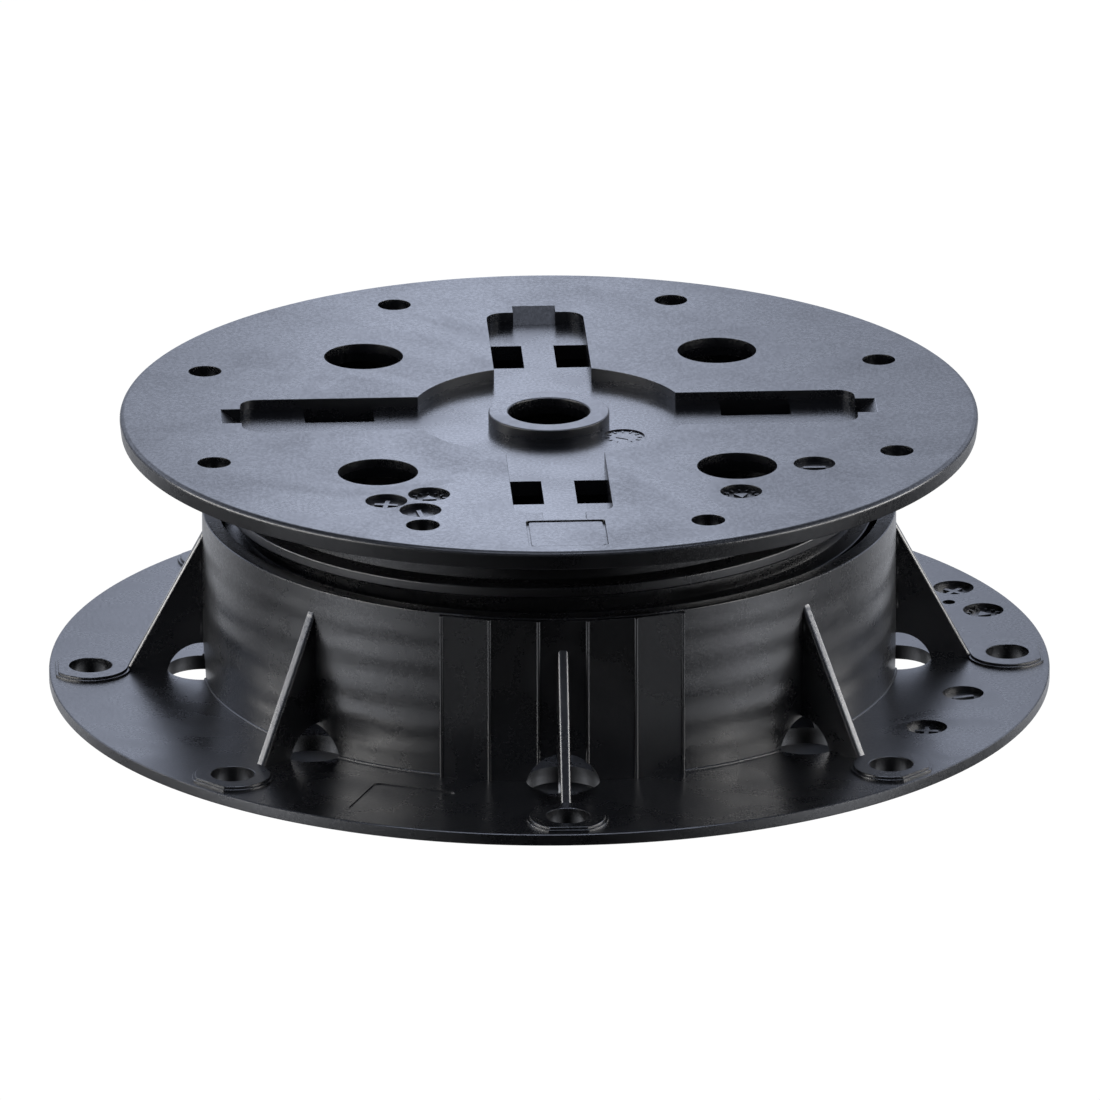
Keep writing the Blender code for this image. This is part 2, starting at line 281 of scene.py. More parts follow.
# %% Sweeping a ridge
def ridge(name, root, crest, half_root, half_crest, first, last, middle, rounding):
    """A helical ridge from one angle to another. middle is its height at the first angle."""
    section = ridge_section(name, root, crest, half_root, half_crest, middle, rounding)
    corners = len(section.data.vertices)
    bpy.ops.object.modifier_add(type="SCREW")
    screw = section.modifiers[-1]
    screw.angle = last - first
    screw.screw_offset = thread_pitch * (last - first) / tau
    screw.steps = screw.render_steps = ceil(sweep_steps * (last - first) / tau)
    screw.use_merge_vertices = False
    steps = screw.steps
    bpy.ops.object.modifier_apply(modifier=screw.name)
    edit(section, "edges", lambda edge: len(edge.link_faces) == 1)
    bpy.ops.mesh.edge_face_add()
    bpy.ops.mesh.select_all(action="SELECT")
    bpy.ops.mesh.normals_make_consistent(inside=False)
    close(section)
    sink_ends(section, root, crest, corners, steps)
    section.data.transform(Matrix.Rotation(first, 4, "Z"))
    print(name + ":", round((last - first) / tau, 2), "turns,", len(section.data.polygons), "faces")
    return section


# %% [markdown]
# ## The head: disc, skirt and thread
#
# The head's disc carries the slab, and its skirt is the screw. The disc is a cylinder whose lower face is
# drawn in a little, so that the rim leans inwards as a moulded part's does. Its upper edge is well rounded
# and its lower edge only broken. The skirt could be a tube cut by a second cylinder. It is quicker to inset
# a cylinder's lower face by the wall and push it up, which hollows it like a cup.

# %% Sizes of the head
head_radius = 85.55 * mm
rim_round = 1.1 * mm
rim_taper = 0.4 * mm
head_thickness = 3.7 * mm
skirt_inner = 59.0 * mm
skirt_drop = 38.0 * mm
seat_depth = 2.8 * mm
seat_circle = 27.5 * mm
arm_half = 9.75 * mm
arm_reach = 61.3 * mm
arm_corner = 3.6 * mm
pan_wall = 2.6 * mm
pan_drop = 5.8 * mm
ring_radius = 12.05 * mm
bore_radius = 8.1 * mm
counterbore_radius = 10.25 * mm
print("head, mm:", round(2000 * head_radius, 1), "across,", round(1000 * skirt_drop, 1), "deep")

# %% The disc
head = cylinder("head_moulding", head_radius, -head_thickness, 0.0)
edit(head, "faces", on_level(-head_thickness))
lean = 1.0 - rim_taper / head_radius
bpy.ops.transform.resize(value=(lean, lean, 1.0), center_override=(0.0, 0.0, -head_thickness))
close(head)
soften(head, rim_round, 6, on_level(0.0))
soften(head, 0.3 * mm, 3, on_level(-head_thickness))
report(head, "as a disc")

# %% The skirt
skirt_ceiling = 0.5 * mm - head_thickness
skirt = cylinder("skirt", thread_root, -skirt_drop, skirt_ceiling)
edit(skirt, "faces", on_level(-skirt_drop))
bpy.ops.mesh.inset(thickness=thread_root - skirt_inner)
skirt_floor = skirt_ceiling - 0.2 * mm
push(skirt_floor + skirt_drop)
close(skirt)
soften(skirt, 0.3 * mm, 3, on_level(-skirt_drop))
report(skirt, "hollowed")


# %% The head's thread
def head_ridge_height(angle):
    """The height of the ridge's middle at an angle, with the head's top face at zero."""
    return -thread_phase_drop + thread_pitch * (angle + head_turn - thread_phase_angle) / tau


def head_ridge_angle(height):
    """The angle at which the ridge's middle reaches a height."""
    return (height + thread_phase_drop) * tau / thread_pitch + thread_phase_angle - head_turn


half_root = thread_crest_half + thread_flank_fall
first = head_ridge_angle(half_root + 2.0 * mm - skirt_drop)
last = head_ridge_angle(-head_thickness - half_root - 2.0 * mm)
head_thread = ridge("head_thread", thread_root, thread_crest, half_root, thread_crest_half, first, last,
                    head_ridge_height(first), 0.3 * mm)
combine(skirt, head_thread, "UNION")
combine(head, skirt, "UNION")
report(head, "with its skirt and thread")

# %% [markdown]
# ## The head: the cross-shaped seat
#
# Spacers and joist clips sit in a sunk cross. Its floor could be extruded downwards from the disc, but then
# the walls below would need their own work. So the same shape is made twice: once larger, as the pan that
# carries the seat's floor, and once at size, as the cutter. Each is two bars with rounded corners and a
# round middle.

# %% A cross with a round middle
def cross(name, grow, low, high):
    """The seat's shape between two heights, grown outwards by a wall."""
    half, reach, corner = arm_half + grow, arm_reach + grow, arm_corner + grow
    body = cylinder(name, seat_circle + grow, low, high, medium * 2)
    for size in ((reach, half), (half, reach)):
        bar = block("bar", (-size[0], -size[1], low), (size[0], size[1], high))
        soften(bar, corner, 8, upright)
        combine(body, bar, "UNION")
    return body


# %% The pan and the seat
pan = cross("pan", pan_wall, -pan_drop, skirt_ceiling)
combine(head, pan, "UNION")
seat = cross("seat", 0.0, -seat_depth, head_thickness)
combine(head, seat, "DIFFERENCE")
report(head, "with its seat")

# %% [markdown]
# A nick at the end of each arm gives a spacer's tongue a way out: its floor rises to the top face in a ramp.
# It is one block whose lower outer edge is moved inwards, and whose top is pushed up clear of the disc.

# %% The nicks at the arms' ends
nick_half = 4.25 * mm
nick_tip = arm_reach + 4.0 * mm
ramp_reach = 3.5 * mm
nick = block("nick", (arm_reach - arm_corner, -nick_half, -seat_depth), (nick_tip, nick_half, 0.0))
edit(nick, "verts", lambda vert: vert.co.x > arm_reach and vert.co.z < -1.0 * mm)
bpy.ops.transform.translate(value=(-ramp_reach, 0.0, 0.0))
close(nick)
edit(nick, "faces", on_level(0.0))
push(1.0 * mm)
close(nick)
combine(head, around(nick, quarters), "DIFFERENCE")
report(head, "with its nicks")

# %% [markdown]
# ## The head: ring and holes
#
# A ring stands in the middle of the seat, as high as the disc, and its bore is stepped. The round holes take
# screws or let water through, and the square ones take the lugs of a clip. A hole could be drawn in the disc
# before it gets its thickness. Cutting it afterwards is simpler, with one cylinder or block of each kind that
# is copied round the axis.

# %% The ring
ring = cylinder("ring", ring_radius, -seat_depth - 1.5 * mm, 0.0, medium)
soften(ring, 0.35 * mm, 3, on_level(0.0))
combine(head, ring, "UNION")
combine(head, cylinder("bore", bore_radius, -3.5 * mm, 1.0 * mm, medium), "DIFFERENCE")
soften(head, 0.45 * mm, 3, ring_at(0.0, 0.0, bore_radius + 0.1 * mm))
combine(head, cylinder("counterbore", counterbore_radius, -7.0 * mm, -3.4 * mm, medium), "DIFFERENCE")
report(head, "with its ring")

# %% The large and small round holes
cut_low = -8.0 * mm
cut_high = 1.0 * mm
large_hole_radius = 7.9 * mm
large_hole_circle = 50.2 * mm
small_hole_radius = 3.3 * mm
small_hole_circle = 73.15 * mm
large_hole = cylinder("large_hole", large_hole_radius, cut_low, cut_high, medium,
                      polar(large_hole_circle, pi / 4)[:2])
combine(head, around(large_hole, quarters), "DIFFERENCE")
small_hole = cylinder("small_hole", small_hole_radius, cut_low, cut_high, small,
                      polar(small_hole_circle, pi / 8)[:2])
combine(head, around(small_hole, eighths), "DIFFERENCE")
report(head, "with round holes")

# %% The square holes, a pair in each arm
square_hole_near = 34.6 * mm
square_hole_far = 48.5 * mm
square_hole_inside = 3.25 * mm
square_holes = []
for side in (-1, 1):
    near, far = sorted((side * square_hole_inside, side * arm_half))
    square_holes.append(block("square_hole", (square_hole_near, near, cut_low),
                              (square_hole_far, far, 0.5 * mm - seat_depth)))
combine(head, around(joined(square_holes), quarters), "DIFFERENCE")
report(head, "with square holes")

# %% [markdown]
# ## The head: sunk marks
#
# Injection moulds carry small round inserts that print a recess, with a plain sign in it, into each part. A
# bump map could show them, but their walls catch the light from the side, so they are cut. A mark is a
# shallow cylinder cut away, and its sign is left standing: two short bars for a cross, one for a stroke, a
# ring of small ticks round an arrow for a dial. A plain panel near the rim is a shallow groove round a
# slightly sunk floor.

# %% One mark and its sign
mark_radius = 4.1 * mm


def sign_bars(kind):
    """Length, width and turn of each bar in a mark's sign."""
    return {"cross": [(4.6 * mm, 0.9 * mm, 0.4), (4.6 * mm, 0.9 * mm, 0.4 + pi / 2)],
            "stroke": [(4.4 * mm, 0.9 * mm, 0.6)],
            "dial": [(0.9 * mm, 0.35 * mm, k * pi / 6) for k in range(12)]}[kind]


def dial_arrow(centre, angle, floor_level, depth):
    """The small three-sided arrow in the middle of a dial."""
    bpy.ops.mesh.primitive_cylinder_add(vertices=3, radius=1.6 * mm, depth=depth * 0.7,
                                        location=(0.0, 0.0, 0.0))
    arrow = settle("arrow")
    shift = Matrix.Translation(centre + Vector((0.0, 0.0, floor_level)))
    arrow.data.transform(shift @ Matrix.Rotation(angle, 4, "Z"))
    return arrow


def mark(distance, angle, level, kind, depth=1.2 * mm, radius=mark_radius):
    """A round mark for an upper face: what is cut away, and the sign that is left standing in it."""
    centre = polar(distance, angle)
    hollow = cylinder("mark", radius, level - depth, level + depth, small, centre[:2])
    offset = polar(radius - 1.0 * mm, 0.0) if kind == "dial" else Vector()
    bars = []
    for length, width, turn in sign_bars(kind):
        bar = block("bar", (-length / 2, -width / 2, level - depth - 0.2 * mm),
                    (length / 2, width / 2, level - depth * 0.65))
        turn_and_shift = Matrix.Rotation(angle + turn, 4, "Z") @ Matrix.Translation(offset)
        bar.data.transform(Matrix.Translation(centre) @ turn_and_shift)
        bars.append(bar)
    if kind == "dial":
        bars.append(dial_arrow(centre, angle, level - depth, depth))
    if kind == "cross":
        combine(bars[0], bars.pop(), "UNION")
    return hollow, joined(bars)


# %% Printing marks into a face
def print_marks(item, marks):
    """Cuts several marks at once, then leaves all their signs."""
    combine(item, joined([hollow for hollow, sign in marks]), "DIFFERENCE")
    combine(item, joined([sign for hollow, sign in marks]), "UNION")
    print(item.name + ":", len(marks), "marks")


# %% The head's marks: distance in millimetres, angle in degrees, sign
head_marks = [(63.1, -123.2, "cross"), (55.7, -117.8, "dial"), (65.0, -115.6, "stroke"),
              (61.6, -34.4, "stroke"), (61.9, -55.1, "dial")]
marks = [mark(distance * mm, radians(degrees), 0.0, kind) for distance, degrees, kind in head_marks]
seat_dial = mark(16.6 * mm, radians(-29.3), -seat_depth, "dial", 0.3 * mm, 4.2 * mm)
print_marks(head, marks + [seat_dial])
report(head, "with marks")

# %% The plain panel near the rim
panel_middle = 73.7 * mm
groove = block("groove", (-7.75 * mm, -panel_middle - 7.5 * mm, -0.6 * mm),
               (7.75 * mm, 7.5 * mm - panel_middle, 1.0 * mm))
panel_floor = block("panel_floor", (-7.2 * mm, -panel_middle - 6.95 * mm, -1.0 * mm),
                    (7.2 * mm, 6.95 * mm - panel_middle, -0.2 * mm))
for cutter in (groove, panel_floor):
    soften(cutter, 0.7 * mm, 4, upright)
combine(groove, panel_floor, "DIFFERENCE")
combine(head, groove, "DIFFERENCE")
report(head, "with its panel")

# %% Soft rims around everything that opens in the top face
soften(head, 0.2 * mm, 3, ring_at(0.0, 0.0, head_radius - 2.0 * mm))
report(head, "with soft rims")

# %% The head goes to its place
head.data.transform(Matrix.Rotation(head_turn, 4, "Z"))
head.data.transform(Matrix.Translation((0.0, 0.0, rest_height)))
print("head's top face, mm:", round(1000 * max(vert.co.z for vert in head.data.vertices), 2))

# %% [markdown]
# ## The base: plate and barrel
#
# The base spreads the load over the roof, so it is wide and thin. Its rim is thinner than its middle, so
# that only the middle rests on the ground: the lower face is inset and pushed down. The barrel takes the
# head's skirt, and is hollowed from its top as the skirt was from below.

# %% Sizes of the base
base_radius = 100.0 * mm
plate_top = 3.0 * mm
rim_undercut = 0.6 * mm
rim_width = 4.0 * mm
barrel_top = 36.9 * mm
barrel_outer = 69.2 * mm
barrel_inner = 66.0 * mm
barrel_crest = 65.15 * mm
facet_radius = 70.1 * mm
facet_angle = radians(7.93)
boss_circle = 91.7 * mm
boss_radius = 8.05 * mm
boss_top = 3.9 * mm
screw_hole_radius = 4.3 * mm
drain_circle = 69.2 * mm
drain_radius = 7.45 * mm
drain_centre = 1.4 * mm
print("base, mm:", round(2000 * base_radius, 1), "across,", round(1000 * barrel_top, 1), "high")

# %% The plate
base = cylinder("base_moulding", base_radius, rim_undercut, plate_top)
edit(base, "faces", on_level(rim_undercut))
bpy.ops.mesh.inset(thickness=rim_width)
push(-rim_undercut)
close(base)
soften(base, 0.4 * mm, 3, on_level(plate_top))
soften(base, 0.3 * mm, 3, ring_at(rim_undercut, base_radius - tiny, base_radius + tiny))
report(base, "as a plate")

# %% The barrel
barrel_foot = plate_top - 0.5 * mm
barrel_floor = barrel_foot + 0.2 * mm
barrel = cylinder("barrel", barrel_outer, barrel_foot, barrel_top)
edit(barrel, "faces", on_level(barrel_top))
bpy.ops.mesh.inset(thickness=barrel_outer - barrel_inner)
push(barrel_floor - barrel_top)
close(barrel)
soften(barrel, 0.4 * mm, 3, on_level(barrel_top))
report(barrel, "hollowed")


# %% The barrel's thread
def barrel_ridge_height(angle):
    """The height of the ridge's middle, which lies half a turn between the head's turns."""
    return rest_height - thread_phase_drop + thread_pitch * ((angle - thread_phase_angle) / tau - 0.5)


def barrel_ridge_angle(height):
    """The angle at which the ridge's middle reaches a height."""
    return ((height - rest_height + thread_phase_drop) / thread_pitch + 0.5) * tau + thread_phase_angle


half_crest = 2.0 * mm
half_root = half_crest + thread_flank_fall
first = barrel_ridge_angle(11.0 * mm + half_root)
last = barrel_ridge_angle(barrel_top - 3.0 * mm - half_root)
barrel_thread = ridge("barrel_thread", barrel_inner, barrel_crest, half_root, half_crest, first, last,
                      barrel_ridge_height(first), 0.15 * mm)
combine(barrel, barrel_thread, "UNION")
report(barrel, "with its thread")

# %% [markdown]
# ## The base: facets, gussets and bosses
#
# The front of the barrel is five flat panels with a fine rib on each of their edges, and a low bead runs
# round the barrel's foot. Eight gussets brace the barrel, and each ends in a boss for a screw, which is two
# low round steps whose outer side is cut flat. All this could be drawn as one profile and extruded, but its
# heights differ, so each form is its own small solid that is welded on. The bosses go on before the gussets,
# because each gusset ends inside its boss.

# %% The facets and their ribs
facet_top = barrel_top - 0.3 * mm
first_edge = -pi / 2 - 2.5 * facet_angle
half_width = facet_radius * sin(facet_angle / 2)
flat = facet_radius * cos(facet_angle / 2)
panel = block("facet", (flat - 2.2 * mm, -half_width, barrel_foot), (flat, half_width, facet_top))
soften(panel, 0.25 * mm, 3,
       lambda edge: on_level(facet_top)(edge) and min(vert.co.x for vert in edge.verts) > flat - tiny)
for k in range(5):
    combine(barrel, turned(panel, first_edge + (k + 0.5) * facet_angle), "UNION")
bpy.data.objects.remove(panel)
rib_half = 0.4 * mm
rib = block("rib", (facet_radius - 1.0 * mm, -rib_half, barrel_foot),
            (facet_radius + 0.4 * mm, rib_half, facet_top))
soften(rib, 0.36 * mm, 4, lambda edge: min(vert.co.x for vert in edge.verts) > facet_radius)
combine(barrel, around(rib, [first_edge + k * facet_angle for k in range(6)]), "UNION")
combine(base, barrel, "UNION")

# %% The bead at the barrel's foot
bead_top = plate_top + 0.4 * mm
bead = cylinder("bead", barrel_outer + 0.4 * mm, barrel_foot, bead_top)
combine(base, soften(bead, 0.3 * mm, 3, on_level(bead_top)), "UNION")
report(base, "with its barrel and facets")

# %% One gusset, copied
gusset_top = 31.8 * mm
gusset_reach = boss_circle - boss_radius + 0.5 * mm
gusset_inside = barrel_outer - 1.6 * mm
slope = (gusset_top - boss_top) / (gusset_reach - barrel_outer)
gusset = block("gusset", (gusset_inside, -1.4 * mm, barrel_foot),
               (gusset_reach, 1.4 * mm, boss_top - 0.1 * mm))
for vert in gusset.data.vertices:
    side = 1.0 if vert.co.y > 0.0 else -1.0
    if vert.co.x < barrel_outer and vert.co.z > plate_top:
        vert.co.z = gusset_top + slope * (barrel_outer - gusset_inside)
        vert.co.y = side * 1.05 * mm
    elif vert.co.x > barrel_outer:
        vert.co.y = side * 1.0 * mm


def slanting(edge):
    """True for the two long edges that come down from the barrel to the boss."""
    start, end = (vert.co for vert in edge.verts)
    return abs(start.z - end.z) > 10 * mm and abs(start.x - end.x) > 5 * mm


soften(gusset, 0.9 * mm, 6, slanting)
report(gusset, "with a round edge")


# %% One boss, copied
def boss_step(name, radius, flat, top, rounding):
    """A short round step whose outer side is cut flat."""
    boss = cylinder(name, radius, barrel_foot, top, medium, (boss_circle, 0.0))
    edit(boss, "faces", lambda face: True)
    bpy.ops.mesh.bisect(plane_co=(boss_circle + flat, 0.0, 0.0), plane_no=(1.0, 0.0, 0.0),
                        use_fill=True, clear_outer=True)
    close(boss)
    return soften(boss, rounding, 3, on_level(top))


lower_step = boss_step("boss_foot", boss_radius, 6.9 * mm, plate_top + 0.45 * mm, 0.15 * mm)
combine(base, around(lower_step, eighths), "UNION")
upper_step = boss_step("boss", boss_radius - 0.55 * mm, 6.4 * mm, boss_top, 0.2 * mm)
combine(base, around(upper_step, eighths), "UNION")

# %% The gussets and the screw holes
combine(base, around(gusset, eighths), "UNION")
screw_hole = cylinder("screw_hole", screw_hole_radius, -1.0 * mm, 6.0 * mm, small, (boss_circle, 0.0))
combine(base, around(screw_hole, eighths), "DIFFERENCE")
soften(base, 0.2 * mm, 3, on_level(boss_top))
report(base, "with bosses and gussets")

# %% [markdown]
# Water leaves through eight drains at the barrel's foot. Each is a hole through the plate with a dome above
# it that also opens the barrel's wall. A round hole alone would leave the wall whole, so the cutter is a
# half ball whose flat lower face is pushed down through the plate.

# %% The drains
bpy.ops.mesh.primitive_uv_sphere_add(segments=small, ring_count=24, radius=drain_radius,
                                     location=(drain_circle, 0.0, drain_centre))
drain = settle("drain")
edit(drain, "faces", lambda face: True)
bpy.ops.mesh.bisect(plane_co=(0.0, 0.0, drain_centre), plane_no=(0.0, 0.0, -1.0),
                    use_fill=True, clear_outer=True)
close(drain)
edit(drain, "faces", on_level(drain_centre))
push(-1.0 * mm - drain_centre)
close(drain)
combine(base, around(drain, eighths), "DIFFERENCE")
report(base, "with gussets, bosses and drains")

# %% The base's marks: distance in millimetres, angle in degrees, sign
base_marks = [(93.0, 26.4, "cross"), (92.7, 17.3, "dial"), (84.4, -14.9, "stroke"), (84.0, -29.4, "cross")]
print_marks(base, [mark(distance * mm, radians(degrees), plate_top, kind)
                   for distance, degrees, kind in base_marks])

# %% The small pit between the marks, and the plain panel
pit = cylinder("pit", 1.3 * mm, plate_top - 1.2 * mm, plate_top + 1.0 * mm, small,
               polar(88.1 * mm, radians(21.7))[:2])
combine(base, pit, "DIFFERENCE")
panel = block("panel", (77.5 * mm, -8.5 * mm, plate_top - 0.2 * mm),
              (93.5 * mm, 8.5 * mm, plate_top + 1.0 * mm))
soften(panel, 1.2 * mm, 4, upright)
combine(base, turned(panel, radians(-112.0)), "DIFFERENCE")
bpy.data.objects.remove(panel)
report(base, "with marks")

# %% [markdown]
# ## The surface: smooth rounds between true flats
#
# Booleans leave points a hair apart and long thin faces, which would shade unevenly. A finer mesh would only
# hide that. So near points are merged, an edge of more than 26 degrees stays sharp, and normals are weighted
# towards the large faces, which keeps the flats flat, as on a moulding.

# %% Smooth shading that keeps the flats flat
merge_distance = 0.002 * mm


def finish_surface(item):
    """Merges the points that the Booleans left a hair apart, and shades rounds smooth and flats flat."""
    edit(item, "verts", lambda vert: True)
    bpy.ops.mesh.remove_doubles(threshold=merge_distance)
    close(item)
    only(item)
    bpy.ops.object.shade_smooth_by_angle(angle=radians(26))
    bpy.ops.object.modifier_add(type="WEIGHTED_NORMAL")
    item.modifiers[-1].keep_sharp = True
    bpy.ops.object.modifier_apply(modifier=item.modifiers[-1].name)


for item in (head, base):
    finish_surface(item)
    print(item.name + ":", len(item.data.vertices), "points,", len(item.data.polygons), "faces")

# %% [markdown]
# ## The plastic: effects as node groups
#
# The real surface is black polypropylene, satin from an etched mould. Close up it has a fine grain, pale
# streaks where the melt flowed, smudges from handling and a few hairline scratches. Each could be drawn once
# in every material. As a node group it is built once and placed in both plastics, so that each moulding can
# have its own strength of it.

# %% Small tools for nodes
def new_group(name, inputs, outputs):
    """A node group with float inputs and their defaults, and named float outputs."""
    tree = bpy.data.node_groups.new(name, "ShaderNodeTree")
    for label, value in inputs:
        socket = tree.interface.new_socket(name=label, in_out="INPUT", socket_type="NodeSocketFloat")
        socket.default_value = value
    for label in outputs:
        tree.interface.new_socket(name=label, in_out="OUTPUT", socket_type="NodeSocketFloat")
    return tree, tree.nodes.new("NodeGroupInput"), tree.nodes.new("NodeGroupOutput")


def wire(tree, source, target):
    """Links an output to an input."""
    tree.links.new(source, target)


def feed(tree, value, socket):
    """Sets an input to a number, or links another node's output to it."""
    if isinstance(value, (int, float)):
        socket.default_value = value
    else:
        wire(tree, value, socket)


# %% Sums and products of values
def calc(tree, operation, *values, clamp=False):
    """A Math node. Each value is a number or another node's output."""
    node = tree.nodes.new("ShaderNodeMath")
    node.operation = operation
    node.use_clamp = clamp
    for socket, value in zip(node.inputs, values):
        feed(tree, value, socket)
    return node.outputs[0]


def times(tree, product, *values):
    """The product of two or more values."""
    for value in values:
        product = calc(tree, "MULTIPLY", product, value)
    return product


def plus(tree, total, *values):
    """The sum of two or more values."""
    for value in values:
        total = calc(tree, "ADD", total, value)
    return total


def vector_of(tree, *values):
    """A vector of three values."""
    node = tree.nodes.new("ShaderNodeCombineXYZ")
    for socket, value in zip(node.inputs, values):
        feed(tree, value, socket)
    return node.outputs[0]


# %% Steps and plateaus
def step(tree, value, low, high, start=0.0, end=1.0):
    """A Map Range node that eases from start to end while value goes from low to high."""
    node = tree.nodes.new("ShaderNodeMapRange")
    node.interpolation_type = "SMOOTHSTEP"
    wire(tree, value, node.inputs["Value"])
    for label, number in (("From Min", low), ("From Max", high), ("To Min", start), ("To Max", end)):
        node.inputs[label].default_value = number
    return node.outputs["Result"]


def plateau(tree, value, rise_from, rise_to, fall_from, fall_to):
    """One while value lies between rise_to and fall_from, easing to zero on both sides."""
    rising = step(tree, value, rise_from, rise_to)
    falling = step(tree, value, fall_from, fall_to, 1.0, 0.0)
    return times(tree, rising, falling)


# %% Noise, and where on the surface it is read
def noise(tree, vector, scale, detail=2.0, distortion=0.0):
    """A Noise Texture node's grey value."""
    node = tree.nodes.new("ShaderNodeTexNoise")
    wire(tree, vector, node.inputs["Vector"])
    feed(tree, scale, node.inputs["Scale"])
    node.inputs["Detail"].default_value = detail
    node.inputs["Distortion"].default_value = distortion
    return node.outputs["Fac"]


def place(tree):
    """The surface's own place, as a vector and as x, y, z, distance from the axis, and angle about it."""
    coordinates = tree.nodes.new("ShaderNodeTexCoord").outputs["Object"]
    split = tree.nodes.new("ShaderNodeSeparateXYZ")
    wire(tree, coordinates, split.inputs[0])
    x, y, z = split.outputs
    radius = calc(tree, "SQRT", plus(tree, times(tree, x, x), times(tree, y, y)))
    angle = calc(tree, "ARCTAN2", y, x)
    return coordinates, x, y, z, radius, angle


# %% [markdown]
# The etched grain is two layers of noise: pits about half a millimetre wide, and finer ones between them. The
# group puts out their height in millimetres, so that a Bump node with a distance of one millimetre reads it,
# and a mask of where the grain sparkles. Real pits in the mesh would need millions of faces.

# %% Etched grain
grain, taken, given = new_group("etched_grain", [("Pit Size", 0.35), ("Depth", 0.004)], ["Height", "Sparkle"])
at = place(grain)[0]
pit_scale = calc(grain, "DIVIDE", 1000.0, taken.outputs["Pit Size"])
pits = noise(grain, at, pit_scale, 3.0)
fine_pits = noise(grain, at, times(grain, pit_scale, 2.7), 1.0)
blend = plus(grain, times(grain, pits, 0.7), times(grain, fine_pits, 0.3))
wire(grain, times(grain, blend, taken.outputs["Depth"]), given.inputs["Height"])
wire(grain, step(grain, pits, 0.35, 0.7), given.inputs["Sparkle"])
print(grain.name + ":", len(grain.nodes), "nodes")

# %% [markdown]
# Melt runs outwards from the gate in the middle, and leaves streaks that are long along the radius and
# narrow across it. Noise in x, y and z gives round clouds, so here it reads the angle finely and the radius
# coarsely.

# %% Flow streaks
flow, taken, given = new_group("flow_streaks", [("Streaks", 9.0), ("Reach", 30.0)], ["Mask"])
at, x, y, z, radius, angle = place(flow)
across = times(flow, angle, taken.outputs["Streaks"])
along = times(flow, radius, taken.outputs["Reach"])
streaks = noise(flow, vector_of(flow, across, along, times(flow, z, 40.0)), 1.0, 4.0, 0.6)
wire(flow, step(flow, streaks, 0.30, 0.72), given.inputs["Mask"])
print(flow.name + ":", len(flow.nodes), "nodes")

# %% [markdown]
# Handling leaves broad cloudy smudges and a few hairline scratches. A scratch is the thin line between the
# cells of a stretched Voronoi pattern. It is kept only where a coarse noise is high, so that scratches are
# short and rare.

# %% Handling marks
handling, taken, given = new_group("handling_marks", [("Smudge Size", 28.0), ("Scratches", 0.0)],
                                   ["Smudge", "Scratch"])
at, x, y, z, radius, angle = place(handling)
smudge = noise(handling, at, calc(handling, "DIVIDE", 1000.0, taken.outputs["Smudge Size"]), 5.0, 1.2)
wire(handling, step(handling, smudge, 0.36, 0.68), given.inputs["Smudge"])
across = plus(handling, times(handling, x, 260.0), times(handling, y, 90.0))
along = calc(handling, "SUBTRACT", times(handling, y, 38.0), times(handling, x, 21.0))
cells = handling.nodes.new("ShaderNodeTexVoronoi")
cells.feature = "DISTANCE_TO_EDGE"
cells.inputs["Scale"].default_value = 0.8
wire(handling, vector_of(handling, across, along, times(handling, z, 60.0)), cells.inputs["Vector"])
line = step(handling, cells.outputs["Distance"], 0.004, 0.012, 1.0, 0.0)
rare = step(handling, noise(handling, at, 42.0, 1.0), 0.58, 0.64)
wire(handling, times(handling, line, rare, taken.outputs["Scratches"]), given.inputs["Scratch"])
print(handling.name + ":", len(handling.nodes), "nodes")

# %% [markdown]
# ## The plastic: two materials
#
# Both mouldings are the same black, but their own marks differ. One material could do for both, and would
# then need a mask for each. The head's seat was polished in the mould, so it is smoother than the disc round
# it. The barrel's wall sinks a little behind each turn of its inner thread, which shows as soft bands that
# follow the thread's slope.

# %% What both plastics share
def polypropylene(name, refraction, roughness, smudge_size, streaks, scratches):
    """Black polypropylene with grain, streaks and smudges. Returns what a moulding's own effects need."""
    material = bpy.data.materials.new(name)
    material.use_nodes = True
    tree = material.node_tree
    shader = tree.nodes["Principled BSDF"]
    shader.inputs["IOR"].default_value = refraction
    shader.inputs["Coat Roughness"].default_value = 0.25
    skin, melt, touch = [tree.nodes.new("ShaderNodeGroup") for effect in range(3)]
    skin.node_tree, melt.node_tree, touch.node_tree = grain, flow, handling
    strengths = [(skin, "Pit Size", 0.6), (skin, "Depth", 0.022), (melt, "Streaks", streaks),
                 (touch, "Smudge Size", smudge_size), (touch, "Scratches", scratches)]
    for effect, label, value in strengths:
        effect.inputs[label].default_value = value
    sparkle, melt_mask = skin.outputs["Sparkle"], melt.outputs["Mask"]
    smudge, scratch = touch.outputs["Smudge"], touch.outputs["Scratch"]

    tint = tree.nodes.new("ShaderNodeMix")
    tint.data_type = "RGBA"
    tint.inputs["A"].default_value = (0.0018, 0.0018, 0.0020, 1.0)
    tint.inputs["B"].default_value = (0.0060, 0.0060, 0.0065, 1.0)
    pale = plus(tree, times(tree, melt_mask, 0.35), times(tree, smudge, 0.3))
    wire(tree, calc(tree, "ADD", pale, times(tree, scratch, 0.8), clamp=True), tint.inputs["Factor"])
    wire(tree, tint.outputs["Result"], shader.inputs["Base Color"])

    gloss = plus(tree, roughness, times(tree, smudge, 0.10))
    gloss = calc(tree, "SUBTRACT", gloss, times(tree, melt_mask, 0.03))
    gloss = plus(tree, gloss, times(tree, sparkle, 0.03))
    wire(tree, times(tree, sparkle, 0.4), shader.inputs["Coat Weight"])
    height = calc(tree, "SUBTRACT", skin.outputs["Height"], times(tree, scratch, 0.01))
    return material, tree, shader, gloss, height


